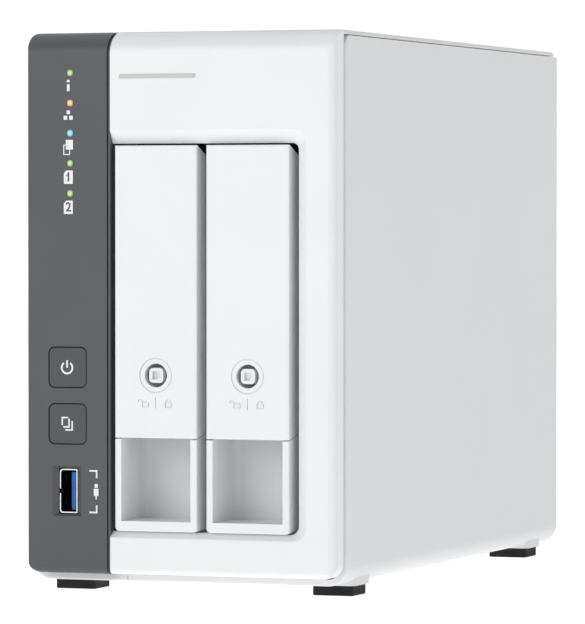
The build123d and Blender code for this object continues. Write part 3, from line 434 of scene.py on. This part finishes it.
def ring(bm, x, z, radius, line, y, thick, start=0.0, sweep=360.0):
    # a flat ring or arc standing on the front plane
    steps = max(int(sweep / 10), 4)
    corners = [(radius - line, 0), (radius, 0), (radius, thick), (radius - line, thick)]
    verts = [bm.verts.new((r * mm, d * mm, 0)) for r, d in corners]
    face = bm.faces.new(verts)
    turn = Matrix.Rotation(math.radians(-start), 3, "Y")
    bmesh.ops.rotate(bm, verts=verts, cent=(0, 0, 0), matrix=turn)
    full = sweep >= 360.0
    if full:
        edges = list(face.edges)
        bmesh.ops.delete(bm, geom=[face], context="FACES_ONLY")
        geom = edges + verts
    else:
        geom = [face] + list(face.edges) + verts
    before = set(bm.verts) - set(verts)
    circle = {"cent": (0, 0, 0), "axis": (0, -1, 0), "angle": math.radians(sweep)}
    bmesh.ops.spin(bm, geom=geom, steps=steps, use_merge=full, **circle)
    moved = [v for v in bm.verts if v not in before]
    bmesh.ops.translate(bm, verts=moved, vec=(x * mm, y, z * mm))


def roundEdges(bm, edges, radiusMm, segments):
    rounding = {"offset": radiusMm * mm, "segments": segments, "profile": 0.5}
    bmesh.ops.bevel(bm, geom=edges, affect="EDGES", material=-1, **rounding)


def finishPiece(bm, name, material, body):
    bmesh.ops.remove_doubles(bm, verts=bm.verts[:], dist=1e-7)
    bmesh.ops.recalc_face_normals(bm, faces=bm.faces[:])
    mesh = bpy.data.meshes.new(name)
    bm.to_mesh(mesh)
    bm.free()
    piece = bpy.data.objects.new(name, mesh)
    bpy.context.scene.collection.objects.link(piece)
    mesh.materials.append(material)
    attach(piece, body)


print("stage: printed marks")
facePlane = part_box("control_panel")[0][1]
inkThick = 0.05
inkPlane = facePlane - inkThick * mm
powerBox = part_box("power_button")
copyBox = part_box("copy_button")
buttonX = (powerBox[0][0] + powerBox[1][0]) / 2 / mm
powerZ = (powerBox[0][2] + powerBox[1][2]) / 2 / mm
copyZ = (copyBox[0][2] + copyBox[1][2]) / 2 / mm


def outlineBox(bm, x, z, line, y):
    # a hollow rectangle of four bars
    plate(bm, (x[0], x[1]), (z[1] - line, z[1]), y, inkThick)
    plate(bm, (x[0], x[1]), (z[0], z[0] + line), y, inkThick)
    plate(bm, (x[0], x[0] + line), (z[0] + line, z[1] - line), y, inkThick)
    plate(bm, (x[1] - line, x[1]), (z[0] + line, z[1] - line), y, inkThick)


numberLook = {"tall": 2.7, "sizeForHeight": 1.42, "boldMm": 0.07}


def numeral(bm, digit, x, z, tall, y):
    # one figure in the built-in face, laid flat and stood up on the front
    curve = bpy.data.curves.new("numeral", "FONT")
    curve.body = str(digit)
    curve.size = tall * numberLook["sizeForHeight"] * mm
    curve.extrude = inkThick * mm / 2
    curve.align_x = "CENTER"
    curve.align_y = "CENTER"
    curve.offset = numberLook["boldMm"] * mm
    source = bpy.data.objects.new("numeral", curve)
    mesh = bpy.data.meshes.new_from_object(source)
    before = set(bm.verts)
    bm.from_mesh(mesh)
    added = [v for v in bm.verts if v not in before]
    upright = Matrix.Rotation(math.pi / 2, 3, "X")
    bmesh.ops.rotate(bm, verts=added, cent=(0, 0, 0), matrix=upright)
    bmesh.ops.translate(bm, verts=added, vec=(x * mm, y, z * mm))
    bpy.data.objects.remove(source)
    bpy.data.meshes.remove(mesh)


# each mark's height below its light, and its parts as spans from its own centre
stripLook = {
    "statusDrop": 4.4,
    "statusHalf": 0.45,
    "statusStem": (-1.05, 1.0),
    "statusDot": (1.6, 2.3),
    "networkDrop": 3.6,
    "networkTop": ((-0.55, 0.55), (0.3, 1.4)),
    "networkLeft": ((-1.5, -0.35), (-1.4, -0.2)),
    "networkRight": ((0.3, 1.45), (-1.4, -0.2)),
    "copyDrop": 4.3,
    "copyFront": ((-0.8, 1.5), (-0.6, 2.3)),
    "copyBack": ((-1.6, 0.6), (-2.2, 0.9)),
    "copyLine": 0.3,
    "copyStepMm": 0.02,
}


def spanFrom(middle, span):
    return (middle + span[0], middle + span[1])


def stripMarks():
    # status, network and copy marks, each below its own light
    look = stripLook
    bm = bmesh.new()
    statusZ = ledTopZ - look["statusDrop"]
    width = (markX - look["statusHalf"], markX + look["statusHalf"])
    for part in ("statusStem", "statusDot"):
        plate(bm, width, spanFrom(statusZ, look[part]), inkPlane, inkThick)
    netZ = ledTopZ - ledPitch - look["networkDrop"]
    for part in ("networkTop", "networkLeft", "networkRight"):
        across, up = look[part]
        plate(bm, spanFrom(markX, across), spanFrom(netZ, up), inkPlane, inkThick)
    copyMarkZ = ledTopZ - 2 * ledPitch - look["copyDrop"]
    across, up = look["copyFront"]
    plate(bm, spanFrom(markX, across), spanFrom(copyMarkZ, up), inkPlane, inkThick)
    across, up = look["copyBack"]
    across, up = spanFrom(markX, across), spanFrom(copyMarkZ, up)
    outlineBox(bm, across, up, look["copyLine"], inkPlane - look["copyStepMm"] * mm)
    finishPiece(bm, "stripMarks", inkWhite, "chassis")


tagLook = {
    "drop": 4.15,
    "halfWide": 1.45,
    "halfTall": 2.0,
    "clip": 0.8,
    "numberShift": 0.05,
    "numberProudMm": 0.01,
    "flagHalf": (0.17, 0.45),
    "flagPlace": (-0.3, 0.62),
    "flagProudMm": 0.03,
    "flagTurn": 50,
}


def driveTags():
    # white tags with a clipped corner, a dark figure on each
    look = tagLook
    tags = bmesh.new()
    numbers = bmesh.new()
    for number in (1, 2):
        middle = ledTopZ - (2 + number) * ledPitch - look["drop"]
        across = (markX - look["halfWide"], markX + look["halfWide"])
        up = (middle - look["halfTall"], middle + look["halfTall"])
        made = plate(tags, across, up, inkPlane, inkThick)
        corner = [v for v in made if v.co.x < markX * mm and v.co.z > middle * mm]
        edge = [e for e in tags.edges if e.verts[0] in corner and e.verts[1] in corner]
        roundEdges(tags, edge, look["clip"], 1)
        shift = look["numberShift"]
        numberY = inkPlane - look["numberProudMm"] * mm
        numeral(numbers, number, markX + shift, middle - shift, numberLook["tall"], numberY)
        if number == 1:
            # the figure's own flag is too thin at this size
            halfX, halfZ = look["flagHalf"]
            flagY = inkPlane - look["flagProudMm"] * mm
            flag = plate(numbers, (-halfX, halfX), (-halfZ, halfZ), flagY, inkThick)
            tilt = Matrix.Rotation(math.radians(look["flagTurn"]), 3, "Y")
            bmesh.ops.rotate(numbers, verts=flag, cent=(0, 0, 0), matrix=tilt)
            x, z = look["flagPlace"]
            lift = ((markX + x) * mm, 0, (middle + z) * mm)
            bmesh.ops.translate(numbers, verts=flag, vec=lift)
    finishPiece(tags, "driveTags", inkWhite, "chassis")
    finishPiece(numbers, "driveTagNumbers", finishes["grey_panel"], "chassis")


powerLook = {
    "shift": (-0.15, -0.1),
    "radius": 2.0,
    "line": 0.55,
    "start": 125,
    "sweep": 290,
    "bar": ((-0.42, 0.12), (-0.1, 2.15)),
}
copyLook = {
    "line": 0.46,
    "across": (-1.95, 0.7),
    "up": (-1.15, 2.1),
    "gap": 0.55,
    "leftGap": 0.75,
    "below": 0.9,
    "backTop": 1.25,
    "backLeft": 1.2,
}


def buttonMarks():
    bm = bmesh.new()
    x, z = buttonX + powerLook["shift"][0], powerZ + powerLook["shift"][1]
    arc = {"start": powerLook["start"], "sweep": powerLook["sweep"]}
    ring(bm, x, z, powerLook["radius"], powerLook["line"], inkPlane, inkThick, **arc)
    across, up = powerLook["bar"]
    plate(bm, spanFrom(buttonX, across), spanFrom(powerZ, up), inkPlane, inkThick)
    finishPiece(bm, "powerMark", inkWhite, "power_button")
    # a sheet open at two corners, and the edge of a second sheet below it
    line, gap, below = copyLook["line"], copyLook["gap"], copyLook["below"]
    left, right = spanFrom(buttonX, copyLook["across"])
    low, top = spanFrom(copyZ, copyLook["up"])
    bars = [
        ((left, right - gap), (top - line, top)),
        ((left, left + line), (low + copyLook["leftGap"], top - line)),
        ((right - line, right), (low, top - gap)),
        ((left + gap, right - line), (low, low + line)),
        ((right + gap, right + gap + line), (low - below, top - copyLook["backTop"])),
        ((left + copyLook["backLeft"], right + gap), (low - below, low - below + line)),
    ]
    bm = bmesh.new()
    for across, up in bars:
        plate(bm, across, up, inkPlane, inkThick)
    finishPiece(bm, "copyMark", inkWhite, "copy_button")


bracketLook = {"across": (-28.7, -26.1), "line": 0.48, "far": 6.45, "near": 4.05}
plugLook = {
    "x": -26.5,
    "parts": (
        ((-0.75, 0.75), (-1.3, 0.9)),
        ((-0.5, 0.5), (1.15, 2.3)),
        ((-0.18, 0.18), (-2.3, -1.3)),
    ),
}


def portMarks():
    # corner brackets beside the front port, with a small plug between them
    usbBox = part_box("front_usb_shell")
    middle = (usbBox[0][2] + usbBox[1][2]) / 2 / mm
    left, right = bracketLook["across"]
    line = bracketLook["line"]
    bm = bmesh.new()
    for side in (-1, 1):
        far, near = middle + side * bracketLook["far"], middle + side * bracketLook["near"]
        plate(bm, (left, right), sorted((far, far - side * line)), inkPlane, inkThick)
        upright = sorted((far - side * line, near))
        plate(bm, (right - line, right), upright, inkPlane, inkThick)
    for across, up in plugLook["parts"]:
        plate(bm, spanFrom(plugLook["x"], across), spanFrom(middle, up), inkPlane, inkThick)
    finishPiece(bm, "portMarks", inkWhite, "chassis")


badgeLook = {"across": (-19.2, 5.4), "up": (153.9, 155.3), "corner": 0.65, "segments": 4}


def plainBadge():
    # a plain bar with round ends
    bm = bmesh.new()
    plate(bm, badgeLook["across"], badgeLook["up"], inkPlane, inkThick)
    depth = inkThick * mm / 2
    ends = [e for e in bm.edges if abs(e.verts[0].co.y - e.verts[1].co.y) > depth]
    roundEdges(bm, ends, badgeLook["corner"], badgeLook["segments"])
    finishPiece(bm, "plainBadge", inkGrey, "chassis")


stripMarks()
driveTags()
buttonMarks()
portMarks()
plainBadge()


print("stage: contacts")
contactLook = {
    "pitch": 2.2,
    "steps": (-1.5, -0.5, 0.5, 1.5),
    "halfWide": 0.4,
    "thick": 0.22,
    "long": 7.0,
    "setBack": 1.0,
    "tipLift": 0.12,
    "endToMiddle": 5.6,
}


def usbContacts(node, count, direction):
    # four blades on each tongue, their front ends lifted a little
    look = contactLook
    low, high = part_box(node)
    bm = bmesh.new()
    middles = [(low[2] + high[2]) / 2 / mm]
    if count == 2:
        middles = [low[2] / mm + look["endToMiddle"], high[2] / mm - look["endToMiddle"]]
    mouth = low[1] if direction < 0 else high[1]
    behind = look["setBack"] if direction < 0 else -look["setBack"] - look["long"]
    start = mouth + behind * mm
    x = low[0] / mm + 0.04
    for middle in middles:
        for step in look["steps"]:
            z = middle + step * look["pitch"]
            up = (z - look["halfWide"], z + look["halfWide"])
            made = plate(bm, (x, x + look["thick"]), up, start, look["long"])
            tip = [
                v
                for v in made
                if abs(v.co.y - mouth) < (look["setBack"] + 0.2) * mm and v.co.x < (x + 0.1) * mm
            ]
            bmesh.ops.translate(bm, verts=tip, vec=(look["tipLift"] * mm, 0, 0))
    finishPiece(bm, node + "Contacts", goldContact, "chassis")


wireLook = {
    "count": 8,
    "pitch": 1.02,
    "across": (1.45, 1.8),
    "halfWide": 0.2,
    "back": 11.5,
    "long": 8.5,
    "bend": 8.0,
    "lift": 1.9,
    "endToMiddle": 8.0,
}
windowLook = {"rise": 5.6, "fromRight": (2.9, 0.9), "halfTall": 1.2, "inset": 0.2, "thick": 0.3}
dimLights = {"lens_green": (0.3, 0.42, 0.25), "lens_orange": (0.5, 0.36, 0.2)}


def networkContacts():
    # eight sprung wires in each socket, and a dim light window on each side of it
    look = wireLook
    low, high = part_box("network_sockets")
    middles = (low[2] / mm + look["endToMiddle"], high[2] / mm - look["endToMiddle"])
    bm = bmesh.new()
    across = spanFrom(low[0] / mm, look["across"])
    for middle in middles:
        for step in range(look["count"]):
            z = middle + (step - (look["count"] - 1) / 2) * look["pitch"]
            up = (z - look["halfWide"], z + look["halfWide"])
            wire = plate(bm, across, up, high[1] - look["back"] * mm, look["long"])
            lifted = [v for v in wire if v.co.y < high[1] - look["bend"] * mm]
            bmesh.ops.translate(bm, verts=lifted, vec=(look["lift"] * mm, 0, 0))
    finishPiece(bm, "networkContacts", goldContact, "chassis")
    for slotName, side, label in (("lens_green", 1, "Right"), ("lens_orange", -1, "Left")):
        bm = bmesh.new()
        far, near = windowLook["fromRight"]
        window = (high[0] / mm - far, high[0] / mm - near)
        for middle in middles:
            z = middle + side * windowLook["rise"]
            up = (z - windowLook["halfTall"], z + windowLook["halfTall"])
            plate(bm, window, up, high[1] - windowLook["inset"] * mm, windowLook["thick"])
        dull = mouldedPlastic(slotName + "Dim", dimLights[slotName], 0.3)
        finishPiece(bm, "networkLight" + label, dull, "chassis")


driveLook = {
    "screwInset": 5,
    "screwRadii": (2.0, 1.7),
    "screwTall": 0.3,
    "screwLift": 0.14,
    "screwSides": 24,
    "labelProud": (-0.05, 0.06),
    "labelInset": 24,
    "labelStart": 58,
    "labelLong": 44.0,
}


def driveDetails(number):
    # cover screws at the lid corners and one blank paper label on each drive
    look = driveLook
    low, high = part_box(f"drive_{number}_lid")
    body = f"tray_{number}"
    top = high[0]
    inset = look["screwInset"] * mm
    spots = [
        (y, z) for y in (low[1] + inset, high[1] - inset) for z in (low[2] + inset, high[2] - inset)
    ]
    foot, crown = look["screwRadii"]
    cone = {"radius1": foot * mm, "radius2": crown * mm, "depth": look["screwTall"] * mm}
    cone["segments"] = look["screwSides"]
    sideways = Matrix.Rotation(math.pi / 2, 3, "Y")
    bm = bmesh.new()
    for y, z in spots:
        made = bmesh.ops.create_cone(bm, cap_ends=True, **cone)["verts"]
        bmesh.ops.rotate(bm, verts=made, cent=(0, 0, 0), matrix=sideways)
        bmesh.ops.translate(bm, verts=made, vec=(top + look["screwLift"] * mm, y, z))
    finishPiece(bm, f"driveScrews{number}", finishes["bright_steel"], body)
    bm = bmesh.new()
    proud = spanFrom(top / mm, look["labelProud"])
    up = (low[2] / mm + look["labelInset"], high[2] / mm - look["labelInset"])
    plate(bm, proud, up, high[1] - look["labelStart"] * mm, look["labelLong"])
    finishPiece(bm, f"driveLabel{number}", paperLabel, body)


usbContacts("front_usb_tongue", 1, -1)
usbContacts("rear_usb_tongues", 2, 1)
networkContacts()
for number in (1, 2):
    driveDetails(number)


print("stage: room")
sweep = {
    "front": -4.0,
    "back": 6.5,
    "wide": 9.0,
    "curve": 1.5,
    "high": 4.5,
    "glow": 0.6,
    "tones": (0.9, 0.92),
}


def paleSweep():
    # a floor that curves up behind the object into a wall
    bm = bmesh.new()
    radius = sweep["curve"]
    left = -sweep["wide"] / 2
    path = [bm.verts.new((left, sweep[end], 0)) for end in ("front", "back")]
    bm.edges.new(path)
    bend = {"cent": (0, sweep["back"], radius), "axis": (1, 0, 0), "angle": math.pi / 2}
    turned = bmesh.ops.spin(bm, geom=[path[1]], steps=24, **bend)
    end = [v for v in turned["geom_last"] if isinstance(v, bmesh.types.BMVert)][0]
    top = bm.verts.new((end.co.x, end.co.y, sweep["high"]))
    bm.edges.new((end, top))
    made = bmesh.ops.extrude_edge_only(bm, edges=bm.edges[:])["geom"]
    moved = [v for v in made if isinstance(v, bmesh.types.BMVert)]
    bmesh.ops.translate(bm, verts=moved, vec=(sweep["wide"], 0, 0))
    bmesh.ops.recalc_face_normals(bm, faces=bm.faces[:])
    mesh = bpy.data.meshes.new("paleSweep")
    bm.to_mesh(mesh)
    bm.free()
    for face in mesh.polygons:
        face.use_smooth = True
    obj = bpy.data.objects.new("paleSweep", mesh)
    bpy.context.scene.collection.objects.link(obj)
    f = Finish("paleFloor", Roughness=0.9, Emission_Strength=sweep["glow"])
    f.shader.inputs["Emission Color"].default_value = (1, 1, 1, 1)
    grain = f.noise(6.0, 2.0)
    dark, light = ((tone, tone, tone) for tone in sweep["tones"])
    f.feed("Base Color", f.ramp(grain, dark, light))
    mesh.materials.append(f.material)


lamps = {
    # name: place, aim, size across and down, power
    "keyFront": ((-0.9, -2.1, 1.1), (0, 0, 0.08), (1.6, 1.4), 17.0),
    "fillRight": ((2.2, -0.7, 0.9), (0, 0, 0.08), (1.6, 1.6), 4.0),
    "overhead": ((0.0, 0.1, 1.9), (0, 0, 0.0), (1.8, 1.8), 8.0),
    "backLeft": ((-1.4, 1.2, 1.1), (0, 0, 0.1), (1.4, 1.4), 5.0),
}
roomGlow = 0.34


def softLamps():
    for name, (place, aim, size, power) in lamps.items():
        data = bpy.data.lights.new(name, "AREA")
        data.shape = "RECTANGLE"
        data.size, data.size_y = size
        data.energy = power
        lamp = bpy.data.objects.new(name, data)
        lamp.location = place
        lamp.rotation_euler = (Vector(aim) - Vector(place)).to_track_quat("-Z", "Y").to_euler()
        bpy.context.scene.collection.objects.link(lamp)
    world = bpy.data.worlds.new("room")
    world.use_nodes = True
    background = world.node_tree.nodes["Background"].inputs
    background["Color"].default_value = (1.0, 1.0, 1.0, 1.0)
    background["Strength"].default_value = roomGlow
    bpy.context.scene.world = world
    bpy.context.scene.view_settings.view_transform = "Standard"


cameraSet = {
    "place": (0.5211, -1.4474, 0.1129),
    "azimuth": 19.949,
    "elevation": 1.117,
    "lens": 279.2,
    "sensor": 36.0,
    "rise": -0.0018,
}


def viewCamera():
    data = bpy.data.cameras.new("view")
    data.lens = cameraSet["lens"]
    data.sensor_width = cameraSet["sensor"]
    data.shift_y = cameraSet["rise"]
    camera = bpy.data.objects.new("view", data)
    camera.location = cameraSet["place"]
    tilt = math.radians(90 - cameraSet["elevation"])
    camera.rotation_euler = (tilt, 0, math.radians(cameraSet["azimuth"]))
    bpy.context.scene.collection.objects.link(camera)
    bpy.context.scene.camera = camera


paleSweep()
softLamps()
viewCamera()

print("stage: done")
